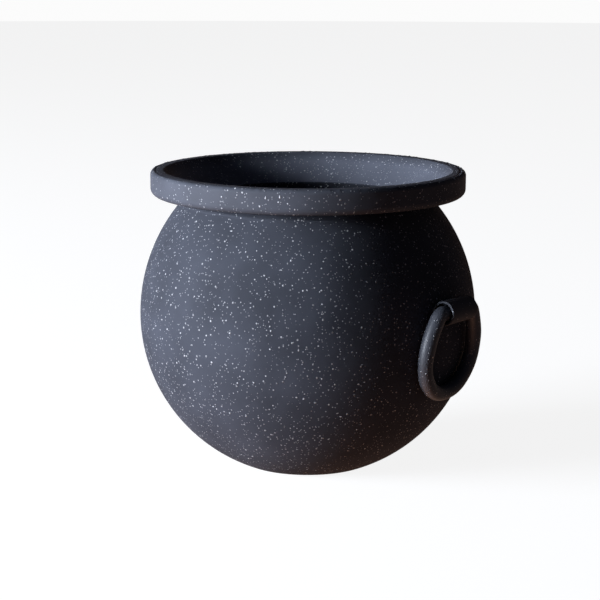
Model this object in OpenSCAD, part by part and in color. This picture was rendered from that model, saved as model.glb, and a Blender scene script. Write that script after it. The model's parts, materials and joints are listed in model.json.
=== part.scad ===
// Black speckled clay pot in the shape of a small cauldron: a thrown globe, a rolled rim
// collar luted on its neck, and two drop rings that swing in strap lugs on the shoulder.

/* [Globe] */
// Outer diameter at the belly
belly_d = 120; // [110:1:130]
// Height of the widest level above the base
belly_h = 54.1; // [52:0.1:56]
// Diameter of the flat base
base_d = 48; // [44:1:54]
// Height of the neck above the base, where the collar is seated
neck_h = 96; // [94:0.5:98]
// Outer diameter of the neck
neck_d = 87; // [84:1:90]
// Thickness of the wall
wall = 3.5; // [3:0.1:4.5]
// Thickness of the floor
floor_t = 5; // [4:0.5:8]

/* [Rim collar] */
// Outer diameter of the rolled rim
rim_d = 111.6; // [108:0.2:114]
// Height of the rim's crest above the base
rim_h = 105.9; // [104.5:0.1:107]
// Height of the bead's underside above the base
bead_low_h = 97.2; // [97:0.1:98.5]
// Radius of the bead's upper outer corner
bead_top_r = 1.6; // [1.2:0.1:3]
// Radius of the bead's lower outer corner
bead_low_r = 2.4; // [2:0.1:3.4]
// Radius of the crest's inner corner
crest_r = 1.2; // [0.8:0.1:1.5]
// Width of the crest between its two corners
crest_w = 2.8; // [1:0.1:3]

/* [Drop rings] */
// Diameter of the ring's clay roll
roll_d = 5.2; // [4.6:0.1:5.6]
// Radius of the ring's flatter side arcs, at the roll's centre
side_r = 25.7; // [24.7:0.5:26.7]
// Bend radius of the elbows between the bar and the side arcs, at the roll's centre
elbow_r = 3.2; // [2.7:0.5:3.7]
// Length of the ring's straight top bar
bar_l = 15; // [14.5:0.1:16]
// Height of the bar's axis above the base
bar_h = 63; // [62:0.1:64]
// Distance of the bar's axis from the pot's centre line
bar_x = 63.3; // [63:0.1:64]
// Inward lean of the hanging ring, in degrees
lean = 7.7; // [6:0.1:7.9]

/* [Strap lugs] */
// Outer diameter of the sleeve round the bar
sleeve_d = 8.4; // [8:0.1:9]
// Length of the sleeve
sleeve_l = 14.4; // [12:0.1:14.4]
// Radial clearance between the bar and the sleeve
running_gap = 0.1; // [0.05:0.01:0.2]
// Height of the web that joins the sleeve to the wall
web_h = 7; // [5:0.5:8]

/* [Hidden] */
$fn = 96;

belly_r = belly_d / 2;
base_r = base_d / 2;
neck_r = neck_d / 2;
roll_r = roll_d / 2;
neck_rise = neck_h - belly_h;

// Each half of the globe is one arc that leaves the belly upright. The first ends at the
// base's edge and the second at the neck, and the centres lie on the belly's level.
function arc_radius(dr, dz) = (dr * dr + dz * dz) / (2 * dr);
lower_r = arc_radius(belly_r - base_r, belly_h);
upper_r = arc_radius(belly_r - neck_r, neck_rise);

// Radius of the inner surface at the neck, which is also the collar's throat
throat_r = belly_r - upper_r + sqrt(pow(upper_r - wall, 2) - pow(neck_rise, 2));

// The ring in its own plane: an elbow turns the bar into a side arc, and the arc ends upright
// on the semicircle of the lower half. All of them are tangent where they meet. The cosine and
// sine of the angle between elbow and arc are exact decimals, so that both end on one plane.
join_cos = 0.8432;
join_sin = 0.5376;
join_angle = atan2(join_sin, join_cos);
side_x = bar_l / 2 - (side_r - elbow_r) * join_cos;
ring_drop = elbow_r + (side_r - elbow_r) * join_sin;
foot_r = side_x + side_r;
cutter = 100;

clay = [0.17, 0.18, 0.20];
clay_rim = [0.21, 0.22, 0.25];
clay_ring = [0.25, 0.26, 0.30];

// Half outline of the globe, cut off at the floor below and the neck above
module globe_outline(inset, low) {
    intersection() {
        translate([belly_r - lower_r, 0]) circle(r = lower_r - inset);
        translate([0, low]) square([belly_d, -low]);
    }
    intersection() {
        translate([belly_r - upper_r, 0]) circle(r = upper_r - inset);
        square([belly_d, neck_rise]);
    }
}

// The globe as a solid, used to fit the lugs to its wall
module globe_solid() {
    translate([0, 0, belly_h]) rotate_extrude($fn = 180) globe_outline(0, -belly_h);
}

module pot_body() {
    color(clay)
        translate([0, 0, belly_h])
            rotate_extrude($fn = 180)
                difference() {
                    globe_outline(0, -belly_h);
                    globe_outline(wall, floor_t - belly_h);
                }
}

// Section of the collar: a bead with round corners, and a funnel that falls to the throat
module collar_outline() {
    rim_r = rim_d / 2;
    crest_outer = rim_r - bead_top_r;
    crest_inner = crest_outer - crest_w;
    translate([crest_outer, rim_h - bead_top_r]) circle(r = bead_top_r);
    translate([crest_inner, rim_h - crest_r]) circle(r = crest_r);
    translate([rim_r - bead_low_r, bead_low_h + bead_low_r]) circle(r = bead_low_r);
    slope = atan2(rim_h - crest_r - neck_h, crest_inner - throat_r);
    polygon([
        [throat_r, neck_h],
        [neck_r, neck_h],
        [rim_r - bead_low_r, bead_low_h],
        [rim_r, bead_low_h + bead_low_r],
        [rim_r, rim_h - bead_top_r],
        [crest_outer, rim_h],
        [crest_inner, rim_h],
        [crest_inner - crest_r * sin(slope), rim_h - crest_r + crest_r * cos(slope)]
    ]);
}

module rim_collar() {
    color(clay_rim) rotate_extrude($fn = 180) collar_outline();
}

// Lug on the +X side: a sleeve and its web, fitted to the globe and bored for the bar
module lug() {
    difference() {
        union() {
            translate([bar_x, 0, bar_h])
                rotate([90, 0, 0])
                    cylinder(d = sleeve_d, h = sleeve_l, center = true);
            translate([bar_x - sleeve_d, -sleeve_l / 2, bar_h - web_h / 2])
                cube([sleeve_d, sleeve_l, web_h]);
        }
        globe_solid();
        translate([bar_x, 0, bar_h])
            rotate([90, 0, 0])
                cylinder(r = roll_r + running_gap, h = 2 * sleeve_l, center = true);
    }
}

// Quarter turn of the clay roll about the origin, from +X round to +Y
module quarter_roll(radius) {
    rotate_extrude(angle = 90, $fn = 180) translate([radius, 0]) circle(d = roll_d, $fn = 48);
}

// Block on one side of the plane where an elbow and a side arc meet
module join_block(side) {
    translate([bar_l / 2, -elbow_r, 0])
        rotate([0, 0, join_angle])
            translate([0, side * cutter / 2, 0]) cube(cutter, center = true);
}

// Half of the ring in the XY plane, from the middle of the bar along +X and down to the foot
module half_ring() {
    rotate([0, 90, 0]) cylinder(d = roll_d, h = bar_l / 2, $fn = 48);
    difference() {
        translate([bar_l / 2, -elbow_r, 0]) quarter_roll(elbow_r);
        join_block(-1);
    }
    difference() {
        translate([side_x, -ring_drop, 0]) quarter_roll(side_r);
        join_block(1);
    }
    translate([0, -ring_drop, 0]) rotate([0, 0, -90]) quarter_roll(foot_r);
}

// Ring on the +X side, leaning in until its foot lies against the globe
module ring() {
    translate([bar_x, 0, bar_h])
        rotate([0, lean, 0])
            rotate([90, 0, 90]) {
                half_ring();
                mirror([1, 0, 0]) half_ring();
            }
}

module right_lug() {
    color(clay_rim) lug();
}

module left_lug() {
    color(clay_rim) rotate([0, 0, 180]) lug();
}

module right_ring() {
    color(clay_ring) ring();
}

module left_ring() {
    color(clay_ring) rotate([0, 0, 180]) ring();
}

pot_body();
rim_collar();
right_lug();
left_lug();
right_ring();
left_ring();
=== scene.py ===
import json
import math

import bpy
import numpy as np
from mathutils import Matrix, Vector


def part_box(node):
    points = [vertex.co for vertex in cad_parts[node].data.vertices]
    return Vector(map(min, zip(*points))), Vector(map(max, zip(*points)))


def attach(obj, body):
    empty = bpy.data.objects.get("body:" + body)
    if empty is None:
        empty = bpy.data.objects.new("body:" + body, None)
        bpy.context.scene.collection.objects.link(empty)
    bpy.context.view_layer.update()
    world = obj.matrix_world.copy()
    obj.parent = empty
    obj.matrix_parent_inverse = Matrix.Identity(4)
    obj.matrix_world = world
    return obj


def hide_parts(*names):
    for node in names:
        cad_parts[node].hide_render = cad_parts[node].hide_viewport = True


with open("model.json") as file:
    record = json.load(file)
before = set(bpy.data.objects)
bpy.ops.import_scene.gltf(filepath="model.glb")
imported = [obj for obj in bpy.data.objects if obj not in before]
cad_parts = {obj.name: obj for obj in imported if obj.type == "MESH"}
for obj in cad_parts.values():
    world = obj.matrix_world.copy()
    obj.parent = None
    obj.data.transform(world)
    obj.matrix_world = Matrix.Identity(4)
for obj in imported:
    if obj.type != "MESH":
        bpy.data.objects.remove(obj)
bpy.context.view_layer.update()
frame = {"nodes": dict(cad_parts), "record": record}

MM = 0.001
FULL_TURN = 2 * math.pi

# ---------------------------------------------------------------- sizes from the frame

neck_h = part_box("pot_body")[1].z             # height of the neck's edge
rim_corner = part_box("rim_collar")[1]
rim_r = round(rim_corner.y / MM, 1) * MM     # outer radius of the rim
rim_h = rim_corner.z                         # height of the rim's crest
sleeve_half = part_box("right_lug")[1].y       # half length of the strap along the bar
joints = frame["record"]["behaviour"]["joints"]
bar_centre = next(Vector(j["pos_m"]) for j in joints if j["child"] == "right_handle")

# ---------------------------------------------------------------- sizes as in part.scad

BELLY_R = 60.0 * MM          # radius at the widest level
BELLY_H = 54.1 * MM          # height of the widest level
BASE_R = 24.0 * MM           # radius of the flat base
NECK_R = 43.5 * MM           # outer radius of the neck
WALL = 3.5 * MM              # thickness of the wall
FLOOR_T = 5.0 * MM           # thickness of the floor
BEAD_LOW_H = 97.2 * MM       # underside of the rim's bead
BEAD_TOP_R = 1.6 * MM        # radius of the bead's upper outer corner
BEAD_LOW_R = 2.4 * MM        # radius of the bead's lower outer corner
CREST_R = 1.2 * MM           # radius of the crest's inner corner
CREST_W = 2.8 * MM           # width of the crest between its corners
ROLL_R = 2.6 * MM            # radius of the ring's clay roll
SIDE_R = 25.7 * MM           # radius of the ring's side arcs
ELBOW_R = 3.2 * MM           # bend radius of the ring's elbows
BAR_HALF = 7.5 * MM          # half length of the ring's straight bar
JOIN_COS = 0.8432            # cosine of the angle between an elbow and a side arc
BORE_R = 2.7 * MM            # radius of the lug's bore
LEAN = math.radians(7.7)     # inward lean of the hanging ring


def arc_radius(dr, dz):
    """Radius of the arc that leaves the belly upright and ends dr further in and dz away."""
    return (dr * dr + dz * dz) / (2 * dr)


lower_r = arc_radius(BELLY_R - BASE_R, BELLY_H)
upper_r = arc_radius(BELLY_R - NECK_R, neck_h - BELLY_H)
throat_r = BELLY_R - upper_r + math.sqrt((upper_r - WALL) ** 2 - (neck_h - BELLY_H) ** 2)

# ---------------------------------------------------------------- camera

CAMERA_AZIMUTH = 38.1
CAMERA_ELEVATION = 11.95
CAMERA_ROLL = 0.19
CAMERA_LENS = 102.0
CAMERA_DISTANCE = 0.613
CAMERA_SHIFT = (-0.01283, 0.01917)


def direction(azimuth, elevation):
    """Unit vector towards a place seen at this azimuth and elevation, in degrees."""
    a, e = math.radians(azimuth), math.radians(elevation)
    return Vector((math.sin(a) * math.cos(e), -math.cos(a) * math.cos(e), math.sin(e)))


def aim(obj, place, target, roll=0.0):
    obj.location = place
    look = (Vector(target) - Vector(place)).to_track_quat("-Z", "Y")
    obj.rotation_mode = "QUATERNION"
    obj.rotation_quaternion = look @ Matrix.Rotation(math.radians(roll), 3, "Z").to_quaternion()


belly_centre = Vector((0, 0, BELLY_H))
camera = bpy.data.objects.new("camera", bpy.data.cameras.new("camera"))
bpy.context.collection.objects.link(camera)
camera.data.lens = CAMERA_LENS
camera.data.sensor_width = 36
camera.data.shift_x = CAMERA_SHIFT[0]
camera.data.shift_y = CAMERA_SHIFT[1]
camera.data.clip_start = 0.01
aim(
    camera,
    belly_centre + CAMERA_DISTANCE * direction(CAMERA_AZIMUTH, CAMERA_ELEVATION),
    belly_centre,
    CAMERA_ROLL,
)
bpy.context.scene.camera = camera

# ---------------------------------------------------------------- mesh tools


MERGE = 0.02 * MM            # points of an outline that lie closer than this become one


def mesh_object(name, verts, faces):
    mesh = bpy.data.meshes.new(name)
    mesh.from_pydata([tuple(v) for v in verts], [], faces)
    mesh.polygons.foreach_set("use_smooth", [True] * len(mesh.polygons))
    mesh.update()
    obj = bpy.data.objects.new(name, mesh)
    bpy.context.collection.objects.link(obj)
    return obj


def arc(centre, radius, start, end, step):
    """Points along an arc in the (r, z) plane, with angles in degrees, both ends included."""
    count = max(2, int(abs(math.radians(end - start)) * radius / step) + 1)
    turn = np.radians(np.linspace(start, end, count + 1))
    return [(centre[0] + radius * math.cos(t), centre[1] + radius * math.sin(t)) for t in turn]


def line(start, end, step):
    """Points along a straight stretch in the (r, z) plane, both ends included."""
    length = math.hypot(end[0] - start[0], end[1] - start[1])
    count = max(1, int(length / step))
    return [
        (start[0] + (end[0] - start[0]) * i / count, start[1] + (end[1] - start[1]) * i / count)
        for i in range(count + 1)
    ]


def joined(*stretches):
    """One outline from stretches, without the points that follow each other too closely."""
    outline = []
    for stretch in stretches:
        for p in stretch:
            if not outline or math.dist(p, outline[-1]) > MERGE:
                outline.append(p)
    return np.array(outline)


def waves(t, periods, seed):
    """Smooth repeatable noise between about -1 and 1: a sum of sines with random phases."""
    rng = np.random.default_rng(seed)
    total = np.zeros_like(t, dtype=float)
    for period in periods:
        height = rng.uniform(0.5, 1.0)
        total = total + height * np.sin(FULL_TURN * t / period + rng.uniform(0, 7))
    return total / (1.2 * len(periods))


def revolved(name, outline, segments, shape=None, closed=True):
    """Surface of revolution of an (r, z) outline. Points on the axis become poles.
    shape(r, z, turn) may move the grid's points, and closed joins the outline's ends."""
    on_axis = outline[:, 0] < 1e-6
    turn = np.linspace(0, 2 * np.pi, segments, endpoint=False)[None, :]
    r = np.repeat(outline[:, 0:1], segments, axis=1)
    z = np.repeat(outline[:, 1:2], segments, axis=1)
    if shape is not None:
        r, z = shape(r, z, np.repeat(turn, len(outline), axis=0))
    verts, rows = [], []
    for i in range(len(outline)):
        if on_axis[i]:
            rows.append([len(verts)] * segments)
            verts.append((0, 0, outline[i, 1]))
            continue
        rows.append(list(range(len(verts), len(verts) + segments)))
        verts.extend(zip(r[i] * np.cos(turn[0]), r[i] * np.sin(turn[0]), z[i]))
    faces = []
    count = len(rows) if closed and not on_axis[0] else len(rows) - 1
    for i in range(count):
        a, b = rows[i], rows[(i + 1) % len(rows)]
        for j in range(segments):
            k = (j + 1) % segments
            quad = [a[j], a[k], b[k], b[j]]
            faces.append(list(dict.fromkeys(quad)))
    return mesh_object(name, verts, faces)


# ---------------------------------------------------------------- globe

SURFACE_STEP = 0.4 * MM      # spacing of the rows on the visible outside
INSIDE_STEP = 1.0 * MM       # spacing of the rows on the inside
GLOBE_SEGMENTS = 400
FLOOR_EDGE_R = 24.0 * MM     # radius at which the floor turns up into the wall, inside
LINE_DEPTH = 0.022 * MM      # depth of the turning lines
OVAL = 0.05 * MM             # how far the globe is out of round
LOBES = 0.04 * MM            # height of the slow lobes that wander round it
RIDGE_H = 0.3 * MM           # height of the ridge of slip under the rim
RIDGE_BELOW = 1.5 * MM       # how far the ridge lies below the neck's edge
RIDGE_WIDTH = 0.34 * MM


def globe_shape(r, z, turn):
    """Adds the faint turning lines, a slow, hand-made unevenness and the ridge of slip.
    Above the belly the inside moves with the outside, and below it by less."""
    outside = np.hypot(r - (BELLY_R - lower_r), z - BELLY_H) > lower_r - 1.0 * MM
    outside = outside | (z > BELLY_H)
    free = np.clip((neck_h - z) / (3 * MM), 0, 1) * np.clip(z / (4 * MM), 0, 1)
    drift = z + 0.25 * MM * np.sin(turn + 1.3)
    lines = waves(drift / MM, (0.93, 1.37, 2.3, 3.9), 5)
    patch = 0.35 + 0.65 * (0.5 + 0.5 * np.sin(2 * turn + z / (9 * MM)))
    slow = OVAL * np.sin(2 * turn + 0.6) + LOBES * np.sin(3 * turn + z / (14 * MM))
    move = free * (LINE_DEPTH * lines * patch + slow)
    # a thin ridge of slip that was squeezed out of the joint under the rim
    wander = 0.2 * MM * np.sin(3 * turn + 0.8) + 0.1 * MM * np.sin(11 * turn)
    ridge = np.exp(-(((z - neck_h + RIDGE_BELOW - wander) / RIDGE_WIDTH) ** 2))
    strength = np.clip(waves(turn, [FULL_TURN / n for n in (2, 3, 7)], 21) + 0.75, 0.1, 1.3)
    move = move + np.where(outside, RIDGE_H * ridge * strength, 0)
    return r + np.where(outside, move, 0.3 * move), z


def make_globe():
    low_c = (BELLY_R - lower_r, BELLY_H)
    up_c = (BELLY_R - upper_r, BELLY_H)
    foot = math.degrees(math.asin(-BELLY_H / lower_r))
    neck = math.degrees(math.asin((neck_h - BELLY_H) / upper_r))
    neck_in = math.degrees(math.asin((neck_h - BELLY_H) / (upper_r - WALL)))
    floor_in = math.degrees(math.asin((FLOOR_T - BELLY_H) / (lower_r - WALL)))
    outside = joined(
        line((0, 0), (BASE_R - 0.6 * MM, 0), 2 * MM),
        arc(low_c, lower_r, foot + 0.9, 0, SURFACE_STEP),
        arc(up_c, upper_r, 0, neck - 0.9, SURFACE_STEP),
    )
    inside = joined(
        arc(up_c, upper_r - WALL, neck_in, 0, INSIDE_STEP),
        arc(low_c, lower_r - WALL, 0, floor_in + 1.5, INSIDE_STEP),
        line((FLOOR_EDGE_R, FLOOR_T), (0, FLOOR_T), 2 * MM),
    )
    seat = np.array([(NECK_R - 0.2 * MM, neck_h)])
    return revolved("globe", np.vstack([outside, seat, inside]), GLOBE_SEGMENTS, globe_shape)


# ---------------------------------------------------------------- rim collar

RIM_STEP = 0.25 * MM
RIM_SEGMENTS = 1000
CHIP_COUNT = 260
CHIP_WIDTH = 0.28 * MM
CHIP_HEIGHTS = (0.12 * MM, 0.48 * MM)
FRAY = 0.05 * MM             # height of the fine roughness along the crest's edge
GROOVE_DEPTH = 0.16 * MM     # depth of the turned groove along the crest
GROOVE_IN = 1.9 * MM         # how far the groove lies inside the rim's outer edge
COVE_R = 1.2 * MM            # size of the cove between the neck and the bead's underside


def chips(turn, count, seed, width, heights):
    """Scattered small bumps round the rim: a height for each angle, in metres."""
    rng = np.random.default_rng(seed)
    total = np.zeros_like(turn)
    for centre in rng.uniform(0, FULL_TURN, count):
        near = np.angle(np.exp(1j * (turn - centre))) * rim_r
        size = width * rng.uniform(0.6, 1.4)
        total = np.maximum(total, rng.uniform(*heights) * np.exp(-((near / size) ** 2)))
    return total


def rim_shape(r, z, turn):
    """Turned groove along the crest, chips and burrs on its edge, and a slow waver."""
    outer_edge = rim_r - 0.75 * MM
    on_top = z > rim_h - 1.2 * MM
    fine = waves(turn, [FULL_TURN / n for n in (131, 197, 263, 331, 419)], 11)
    where = np.clip(waves(turn, [FULL_TURN / n for n in (5, 9, 17, 31)], 12) + 0.4, 0, 1)
    burrs = chips(turn, CHIP_COUNT, 31, CHIP_WIDTH, CHIP_HEIGHTS)
    edge = np.exp(-(((r - outer_edge) / (0.55 * MM)) ** 2)) * on_top
    groove = np.exp(-(((r - rim_r + GROOVE_IN) / (0.3 * MM)) ** 2)) * on_top
    inner = np.exp(-(((r - rim_r + 4.4 * MM) / (0.8 * MM)) ** 2)) * on_top
    high = np.clip((z - neck_h) / (4 * MM), 0, 1)
    slow = np.sin(2 * turn + 2.2) * 0.05 * MM + np.sin(5 * turn) * 0.03 * MM
    lowered = 0.05 * MM * np.clip((z - rim_h + 2 * MM) / (1.5 * MM), 0, 1)
    z = z - lowered - groove * GROOVE_DEPTH
    z = z + edge * (burrs * where + FRAY * fine) + inner * 1.4 * FRAY * fine
    r = r + high * (slow - 0.04 * MM) + edge * 0.3 * burrs * where
    return r, z


def make_rim():
    crest_out = rim_r - BEAD_TOP_R
    crest_in = crest_out - CREST_W
    slope = math.degrees(math.atan2(rim_h - CREST_R - neck_h, crest_in - throat_r))
    low_c = (rim_r - BEAD_LOW_R, BEAD_LOW_H + BEAD_LOW_R)
    start = (crest_in - CREST_R * math.sin(math.radians(slope)),
             rim_h - CREST_R + CREST_R * math.cos(math.radians(slope)))
    outline = joined(
        line((throat_r, neck_h), (NECK_R - 0.4 * MM, neck_h), 1 * MM),
        line((NECK_R + 0.4 * MM, neck_h + 0.1 * MM), (NECK_R + COVE_R, neck_h + 0.9 * MM), MM),
        line((NECK_R + 2.2 * MM, BEAD_LOW_H - 0.35 * MM), (low_c[0], BEAD_LOW_H), 0.8 * MM),
        arc(low_c, BEAD_LOW_R, -88, 0, RIM_STEP),
        line((rim_r, low_c[1]), (rim_r, rim_h - BEAD_TOP_R), RIM_STEP),
        arc((crest_out, rim_h - BEAD_TOP_R), BEAD_TOP_R, 2, 90, RIM_STEP),
        line((crest_out, rim_h), (crest_in, rim_h), RIM_STEP),
        arc((crest_in, rim_h - CREST_R), CREST_R, 92, 90 + slope, RIM_STEP),
        line(start, (throat_r + 0.1 * MM, neck_h + 0.1 * MM), 0.6 * MM),
    )
    return revolved("rim", outline, RIM_SEGMENTS, rim_shape)


# ---------------------------------------------------------------- rings

RING_SIDES = 40
UNEVEN = 0.05 * MM           # how far the hand-rolled clay is off its radius


def ring_path():
    """Centre line of the ring in its own plane, as (y, rise) points with the bar at rise 0.
    It runs from the middle of the bar down the +Y side to the foot."""
    join = math.acos(JOIN_COS)
    side_x = BAR_HALF - (SIDE_R - ELBOW_R) * math.cos(join)
    drop = ELBOW_R + (SIDE_R - ELBOW_R) * math.sin(join)
    foot_r = side_x + SIDE_R
    join = math.degrees(join)
    half = joined(
        line((0, 0), (BAR_HALF, 0), 0.5 * MM),
        arc((BAR_HALF, -ELBOW_R), ELBOW_R, 90, join, 0.3 * MM),
        arc((side_x, -drop), SIDE_R, join, 0, 0.5 * MM),
        arc((0, -drop), foot_r, 0, -90, 0.5 * MM),
    )
    other = half[::-1][1:-1] * np.array([-1, 1])
    return np.vstack([half, other])


def make_ring(side):
    """The ring on the +X side (side 1) or the -X side (side -1), swept along its path."""
    path = ring_path()
    centre = bar_centre
    ahead = np.roll(path, -1, axis=0) - np.roll(path, 1, axis=0)
    ahead = ahead / np.linalg.norm(ahead, axis=1, keepdims=True)
    length = np.concatenate([[0], np.cumsum(np.linalg.norm(np.diff(path, axis=0), axis=1))])
    around = length / length[-1] * FULL_TURN
    in_bar = np.abs(path[:, 1]) < 0.6 * MM
    # hand-rolled unevenness, held back at the bar, which turns in the lug
    uneven = UNEVEN * (np.sin(5 * around + side) + 0.6 * np.sin(9 * around + 2 * side))
    uneven = np.where(in_bar, 0, uneven * np.clip(-path[:, 1] / (6 * MM), 0, 1))
    verts, faces = [], []
    for (y, rise), (dy, dz), more in zip(path, ahead, uneven):
        for k in range(RING_SIDES):
            t = FULL_TURN * k / RING_SIDES
            out = (ROLL_R + more) * math.sin(t)
            across = (ROLL_R + more) * math.cos(t)
            py, pz, px = y + across * dz, rise - across * dy, out
            x = px * math.cos(LEAN) + pz * math.sin(LEAN)
            z = -px * math.sin(LEAN) + pz * math.cos(LEAN)
            verts.append((side * (centre.x + x), side * py, centre.z + z))
    count = len(path)
    for i in range(count):
        for k in range(RING_SIDES):
            a, b = i * RING_SIDES, ((i + 1) % count) * RING_SIDES
            m = (k + 1) % RING_SIDES
            faces.append([a + k, a + m, b + m, b + k])
    name = "ring_right" if side > 0 else "ring_left"
    return mesh_object(name, verts, faces)


# ---------------------------------------------------------------- strap lugs

LUG_SIDES = 96
LUG_ROWS = 60
STRAP_R = 4.2 * MM           # outer radius of the strap over the bar
STRAP_BLEND = 2.2 * MM       # size of the fillet that runs the strap out on the wall
EMBED = 0.7 * MM             # depth to which the strap's back is pressed into the wall
REACH_STEP = 0.05 * MM       # step of the search for the strap's outside
REACH_MAX = 12 * MM
EDGE_ROUND = 0.25 * MM       # radius taken off the strap's two outer edges
MOUTH_OPEN = 0.7 * MM        # how much wider the bore is at its ends
MOUTH_DEPTH = 3.2 * MM       # depth of that wider stretch
MOUTH_SLOPE = 0.8 * MM       # length over which it narrows again


def wall_distance(x, y, z):
    """Distance outside the globe's wall, negative within it."""
    r, rise = math.hypot(x, y), z - BELLY_H
    if rise < 0:
        return math.hypot(r - (BELLY_R - lower_r), rise) - lower_r
    return math.hypot(r - (BELLY_R - upper_r), rise) - upper_r


def soft_union(a, b, blend):
    h = max(blend - abs(a - b), 0) / blend
    return min(a, b) - h * h * blend / 4


def strap_reach(centre, angle, y, strap_r, blend):
    """How far the strap's outside lies from the bar's axis in one direction across the bar."""
    reach = 0.8 * strap_r
    while reach < REACH_MAX:
        x = centre.x + reach * math.cos(angle)
        z = centre.z + reach * math.sin(angle)
        wall = wall_distance(x, y, z)
        if wall < -EMBED:
            return reach
        if soft_union(reach - strap_r, wall, blend) > 0:
            return reach
        reach += REACH_STEP
    return reach


def make_lug(side):
    """The strap on one side: outside, rounded ends and a bore that opens towards its ends."""
    centre = bar_centre
    half = sleeve_half
    outside, inside = [], []
    for i in range(LUG_ROWS + 1):
        # rows crowd towards the ends, where the edges are rounded
        t = math.sin(math.pi * (i / LUG_ROWS - 0.5))
        y = half * t
        from_end = (half - abs(y)) / (0.4 * MM)
        rounding = 0 if from_end > 1 else EDGE_ROUND * (1 - math.sqrt(1 - (1 - from_end) ** 2))
        depth = half - abs(y)
        flare = min(1.0, max(0.0, (MOUTH_DEPTH - depth) / MOUTH_SLOPE))
        strap_r = STRAP_R - rounding
        bore_r = BORE_R + MOUTH_OPEN * flare * flare * (3 - 2 * flare)
        fillet = STRAP_BLEND * min(1.0, 0.5 + depth / (6 * MM))
        outer_row, inner_row = [], []
        for k in range(LUG_SIDES):
            angle = FULL_TURN * k / LUG_SIDES
            reach = strap_reach(centre, angle, y, strap_r, fillet)
            outer_row.append((reach, angle, y))
            inner_row.append((bore_r, angle, y))
        outside.append(outer_row)
        inside.append(inner_row)
    rows = outside + inside[::-1]
    verts = [
        (side * (centre.x + reach * math.cos(angle)), side * y, centre.z + reach * math.sin(angle))
        for row in rows for reach, angle, y in row
    ]
    faces = []
    for i in range(len(rows)):
        a, b = i * LUG_SIDES, ((i + 1) % len(rows)) * LUG_SIDES
        for k in range(LUG_SIDES):
            m = (k + 1) % LUG_SIDES
            faces.append([a + k, b + k, b + m, a + m])
    return mesh_object("lug_right" if side > 0 else "lug_left", verts, faces)


# ---------------------------------------------------------------- materials

MOTTLE_SCALE = 60
SPECKLE_SCALE = 2600
SPECKLE_H = 0.03 * MM        # height of the clay's fine grain
COARSE = (1.5 * MM, 0.55, 0.13, 0.26)    # grains: spacing, share, and radii as in flecks()
FINE = (0.85 * MM, 0.5, 0.13, 0.31)
FINE_STRENGTH = 0.75
GRIT_COLOUR = (0.60, 0.61, 0.64, 1)
PAINTED_LIGHT_GAIN = 2.0           # how much paler the clay inside the mouth is made: painted light
# distance over which that painted light inside the mouth fades out
PAINTED_LIGHT_FADE = 3 * MM


def node(tree, kind, **settings):
    made = tree.nodes.new(kind)
    for key, value in settings.items():
        setattr(made, key, value)
    return made


def math_node(tree, operation, a, b=None, clamp=False):
    made = node(tree, "ShaderNodeMath", operation=operation, use_clamp=clamp)
    for socket, value in zip(made.inputs, (a, b)):
        if value is None:
            continue
        if isinstance(value, (int, float)):
            socket.default_value = value
        else:
            tree.links.new(value, socket)
    return made.outputs[0]


def remap(tree, value, low, high, new_low, new_high):
    made = node(tree, "ShaderNodeMapRange", clamp=True)
    tree.links.new(value, made.inputs["Value"])
    made.inputs["From Min"].default_value = low
    made.inputs["From Max"].default_value = high
    made.inputs["To Min"].default_value = new_low
    made.inputs["To Max"].default_value = new_high
    return made.outputs["Result"]


def noise(tree, place, scale, detail=2.0, roughness=0.5):
    made = node(tree, "ShaderNodeTexNoise")
    made.inputs["Scale"].default_value = scale
    made.inputs["Detail"].default_value = detail
    made.inputs["Roughness"].default_value = roughness
    tree.links.new(place, made.inputs["Vector"])
    return made.outputs["Fac"]


def mix_colour(tree, factor, a, b, blend="MIX"):
    made = node(tree, "ShaderNodeMix", data_type="RGBA", blend_type=blend)
    tree.links.new(factor, made.inputs["Factor"])
    for socket, value in ((made.inputs[6], a), (made.inputs[7], b)):
        if isinstance(value, tuple):
            socket.default_value = value
        else:
            tree.links.new(value, socket)
    return made.outputs[2]


def flecks(tree, place, spacing, share, small, large):
    """Mask and height of round grit grains. Of the cells of this spacing in metres, share
    hold a grain, with a radius between small and large in parts of the spacing."""
    cells = node(tree, "ShaderNodeTexVoronoi", feature="F1", voronoi_dimensions="3D")
    cells.inputs["Scale"].default_value = 1 / spacing
    cells.inputs["Randomness"].default_value = 1.0
    tree.links.new(place, cells.inputs["Vector"])
    random = node(tree, "ShaderNodeSeparateColor")
    tree.links.new(cells.outputs["Color"], random.inputs["Color"])
    radius = remap(tree, random.outputs["Red"], 0, 1, small, large)
    inside = math_node(tree, "SUBTRACT", radius, cells.outputs["Distance"])
    edge = remap(tree, inside, 0, 0.06, 0, 1)
    chosen = math_node(tree, "LESS_THAN", random.outputs["Green"], share)
    bright = remap(tree, random.outputs["Blue"], 0, 1, 0.45, 1)
    mask = math_node(tree, "MULTIPLY", edge, chosen)
    dome = math_node(tree, "MULTIPLY", math_node(tree, "MAXIMUM", inside, 0.0), chosen)
    height = math_node(tree, "MULTIPLY", dome, spacing)
    return math_node(tree, "MULTIPLY", mask, bright), height


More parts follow.
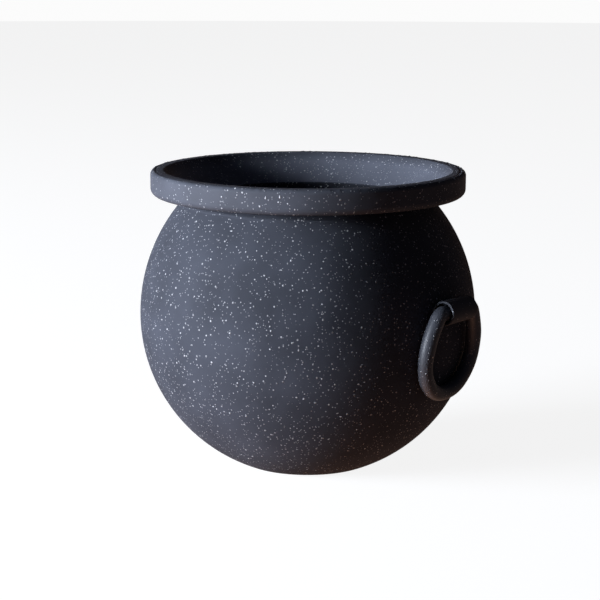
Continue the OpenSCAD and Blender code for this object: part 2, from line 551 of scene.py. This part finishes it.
def clay(name, colour, rough, level, fleck_share=1.0, painted_light_radius=0.0):
    """Matte black clay with light grit. level is the shader's specular level, and the clay
    within the given radius in metres of the pot's centre line is made paler: painted light for the
    light that falls on the inner wall of the mouth."""
    material = bpy.data.materials.new(name)
    material.use_nodes = True
    tree = material.node_tree
    shader = tree.nodes["Principled BSDF"]
    place = node(tree, "ShaderNodeTexCoord").outputs["Object"]
    mottle = noise(tree, place, MOTTLE_SCALE, 3)
    dark = tuple(c * 0.8 for c in colour) + (1,)
    light = tuple(c * 1.2 for c in colour) + (1,)
    base = mix_colour(tree, remap(tree, mottle, 0.3, 0.7, 0, 1), dark, light)
    if painted_light_radius > 0:
        # painted light: the clay near the centre line, inside the mouth, is made paler to stand in
        # for the light on its inner wall
        flat = node(tree, "ShaderNodeVectorMath", operation="MULTIPLY")
        tree.links.new(place, flat.inputs[0])
        flat.inputs[1].default_value = (1, 1, 0)
        away = node(tree, "ShaderNodeVectorMath", operation="LENGTH")
        tree.links.new(flat.outputs["Vector"], away.inputs[0])
        painted_light_mask = remap(tree, away.outputs["Value"], painted_light_radius, painted_light_radius - PAINTED_LIGHT_FADE, 0, 1)
        painted_light_mask = math_node(tree, "MULTIPLY", painted_light_mask, remap(tree, mottle, 0.2, 0.7, 0.5, 1))
        base = mix_colour(tree, painted_light_mask, base, tuple(PAINTED_LIGHT_GAIN * c for c in colour) + (1,))
    (coarse, coarse_dome), (fine, fine_dome) = [
        flecks(tree, place, spacing, share * fleck_share, small, large)
        for spacing, share, small, large in (COARSE, FINE)
    ]
    grit = math_node(tree, "MAXIMUM", coarse, math_node(tree, "MULTIPLY", fine, FINE_STRENGTH))
    base = mix_colour(tree, grit, base, GRIT_COLOUR)
    tree.links.new(base, shader.inputs["Base Color"])
    speckle = noise(tree, place, SPECKLE_SCALE, 2, 0.6)
    tree.links.new(
        remap(tree, speckle, 0.3, 0.7, rough - 0.07, rough + 0.07), shader.inputs["Roughness"]
    )
    shader.inputs["Specular IOR Level"].default_value = level
    domes = math_node(tree, "MAXIMUM", coarse_dome, fine_dome)
    grains = math_node(tree, "MULTIPLY", speckle, SPECKLE_H)
    bump = node(tree, "ShaderNodeBump")
    bump.inputs["Strength"].default_value = 1.0
    bump.inputs["Distance"].default_value = 1.0
    tree.links.new(math_node(tree, "ADD", grains, domes), bump.inputs["Height"])
    tree.links.new(bump.outputs["Normal"], shader.inputs["Normal"])
    return material


# ---------------------------------------------------------------- the object

body_clay = clay("body_clay", (0.042, 0.046, 0.059), 0.85, 0.16)
# the rim's clay is made paler within 50 mm of the centre line, inside the mouth: painted light
rim_clay = clay("rim_clay", (0.059, 0.064, 0.080), 0.75, 0.22, 1.0, 50 * MM)
lug_clay = clay("lug_clay", (0.046, 0.050, 0.060), 0.7, 0.25, 0.4)
ring_clay = clay("ring_clay", (0.054, 0.059, 0.072), 0.48, 0.45, 1.0)

pieces = [
    (make_globe(), "pot_body", "pot", "body_clay", body_clay),
    (make_rim(), "rim_collar", "pot", "rim_clay", rim_clay),
    (make_lug(1), "right_lug", "pot", "lug_clay", lug_clay),
    (make_lug(-1), "left_lug", "pot", "lug_clay", lug_clay),
    (make_ring(1), "right_ring", "right_handle", "ring_clay", ring_clay),
    (make_ring(-1), "left_ring", "left_handle", "ring_clay", ring_clay),
]
for piece, cad_node, body, slot, material in pieces:
    piece.data.materials.append(material)
    frame["nodes"][cad_node].data.materials.clear()
    frame["nodes"][cad_node].data.materials.append(material)
    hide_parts(cad_node)
    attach(piece, body)

# ---------------------------------------------------------------- floor and light

FLOOR_R = 4.0
FLOOR_SIDES = 96
DOME_R = 6.0
LIGHT_DISTANCE = 1.6
WINDOW_AZIMUTH = -72.5       # from the camera, to its left
WINDOW_ELEVATION = 8


def plain(name, emission, diffuse):
    """Pale stage surface: a little light of its own and the shadows that fall on it."""
    material = bpy.data.materials.new(name)
    material.use_nodes = True
    shader = material.node_tree.nodes["Principled BSDF"]
    shader.inputs["Base Color"].default_value = diffuse + (1,)
    shader.inputs["Roughness"].default_value = 0.9
    shader.inputs["Specular IOR Level"].default_value = 0.0
    shader.inputs["Emission Color"].default_value = emission + (1,)
    shader.inputs["Emission Strength"].default_value = 1.0
    return material


def stage_disc():
    verts = [
        (FLOOR_R * math.cos(t), FLOOR_R * math.sin(t), 0)
        for t in np.linspace(0, FULL_TURN, FLOOR_SIDES, endpoint=False)
    ]
    floor = mesh_object("floor", verts, [list(range(FLOOR_SIDES))])
    floor.data.materials.append(plain("floor_white", (0.88, 0.88, 0.88), (0.25, 0.25, 0.25)))
    return floor


def stage_dome():
    rise = [(DOME_R * math.cos(t), DOME_R * math.sin(t)) for t in np.linspace(-0.3, math.pi / 2, 24)]
    rise[-1] = (0, DOME_R)
    dome = revolved("backdrop", np.array(rise), 64, closed=False)
    dome.data.materials.append(plain("backdrop_white", (0.97, 0.97, 0.97), (0, 0, 0)))
    return dome


for part in (stage_disc(), stage_dome()):
    # the stage is seen by the camera, but doesn't light the clay, which stays dark
    part.visible_diffuse = False
    part.visible_glossy = False
bpy.data.objects["backdrop"].visible_shadow = False


def area_light(name, azimuth, elevation, width, height, power, colour):
    """Rectangular light that faces the belly, with its azimuth counted from the camera."""
    lamp = bpy.data.lights.new(name, "AREA")
    lamp.shape = "RECTANGLE"
    lamp.size = width
    lamp.size_y = height
    lamp.energy = power
    lamp.color = colour
    obj = bpy.data.objects.new(name, lamp)
    bpy.context.collection.objects.link(obj)
    towards = direction(CAMERA_AZIMUTH + azimuth, elevation)
    aim(obj, belly_centre + LIGHT_DISTANCE * towards, belly_centre)


area_light("window", WINDOW_AZIMUTH, WINDOW_ELEVATION, 0.8, 0.45, 80, (0.83, 0.89, 1.0))
area_light("low_fill", -45, -3, 0.5, 0.3, 1, (0.78, 0.88, 1.0))


ROOM_COLOUR = (0.012, 0.016, 0.027, 1)
# warm light thrown back by the table and the room: azimuth from the camera, elevation,
# cosine of the angle at which it fades out, and colour
GLOWS = [
    (-60, -68, 0.6, (1.0, 0.50, 0.30)),
    (180, -25, 0.5, (0.42, 0.26, 0.18)),
    (95, -10, 0.5, (0.10, 0.07, 0.05)),
]


def make_world():
    """Dim, cool room with the warm glows."""
    world = bpy.data.worlds.new("room")
    bpy.context.scene.world = world
    world.use_nodes = True
    tree = world.node_tree
    place = node(tree, "ShaderNodeTexCoord").outputs["Generated"]
    colour = ROOM_COLOUR
    for azimuth, elevation, fades_at, glow in GLOWS:
        facing = node(tree, "ShaderNodeVectorMath", operation="DOT_PRODUCT")
        tree.links.new(place, facing.inputs[0])
        facing.inputs[1].default_value = direction(CAMERA_AZIMUTH + azimuth, elevation)
        strength = remap(tree, facing.outputs["Value"], fades_at, 1.0, 0, 1)
        colour = mix_colour(tree, strength, colour, glow + (1,), "ADD")
    tree.links.new(colour, tree.nodes["Background"].inputs["Color"])


make_world()
bpy.context.scene.view_settings.view_transform = "Standard"
